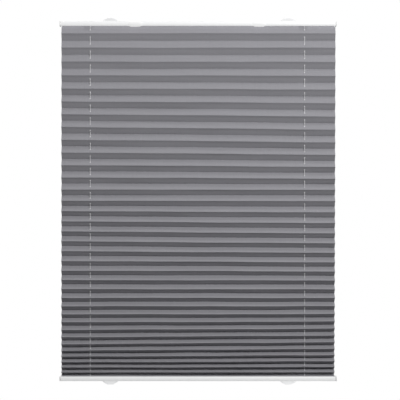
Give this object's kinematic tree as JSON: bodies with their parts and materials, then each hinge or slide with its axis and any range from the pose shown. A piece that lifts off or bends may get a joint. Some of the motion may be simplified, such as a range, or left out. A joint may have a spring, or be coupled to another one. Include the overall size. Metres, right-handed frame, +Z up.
{
  "type": "pleated blind",
  "caption": "Pleated cloth blind between two rails that slide on two taut cords, with grip tabs on both rails and screw-on cord shoes.",
  "frame": {"origin": "midway between the screw holes of the two top shoes, on the face that meets the window bead", "axes": "+Z up along the cords, +X to the viewer's right along the rails, front towards -Y"},
  "size_m": [0.7, 0.024, 0.9248],
  "materials": {
    "rail_paint": "white stoved enamel on extruded aluminium, satin",
    "cap_plastic": "white moulded plastic, slightly greyer than the rail",
    "slat_plastic": "white extruded strip",
    "guide_plastic": "pale moulded plastic",
    "cord_braid": "thin white braided polyester cord",
    "handle_plastic": "pale translucent moulded plastic",
    "clip_plastic": "white moulded plastic",
    "spring_steel": "bright spring wire",
    "shoe_plastic": "white moulded plastic",
    "cloth": "plain grey pleated polyester, fine weave, matt"
  },
  "bodies": {
    "cord_set": {"shoe_top_left": "shoe_plastic", "shoe_top_right": "shoe_plastic", "shoe_bottom_left": "shoe_plastic", "shoe_bottom_right": "shoe_plastic", "left_cord": "cord_braid", "right_cord": "cord_braid", "pleated_cloth": "cloth"},
    "top_rail": {"top_rail": "rail_paint", "top_cap_left": "cap_plastic", "top_cap_right": "cap_plastic", "top_slat": "slat_plastic", "top_guide_left": "guide_plastic", "top_guide_right": "guide_plastic", "top_cross_cord_front": "cord_braid", "top_cross_cord_back": "cord_braid", "top_handle_left": "handle_plastic", "top_handle_right": "handle_plastic", "rail_clip_left": "clip_plastic", "rail_clip_right": "clip_plastic", "tension_spring_front": "spring_steel", "tension_spring_back": "spring_steel"},
    "bottom_rail": {"bottom_rail": "rail_paint", "bottom_cap_left": "cap_plastic", "bottom_cap_right": "cap_plastic", "bottom_slat": "slat_plastic", "bottom_guide_left": "guide_plastic", "bottom_guide_right": "guide_plastic", "bottom_cross_cord_front": "cord_braid", "bottom_cross_cord_back": "cord_braid", "bottom_handle_left": "handle_plastic", "bottom_handle_right": "handle_plastic"}
  },
  "joints": [
    {"name": "top_rail_slide", "type": "slide", "parent": "cord_set", "child": "top_rail", "axis": [0, 0, -1], "range_m": [0, 0.4], "deforming": ["pleated_cloth"]},
    {"name": "bottom_rail_slide", "type": "slide", "parent": "cord_set", "child": "bottom_rail", "axis": [0, 0, 1], "range_m": [0, 0.4], "deforming": ["pleated_cloth"]}
  ]
}
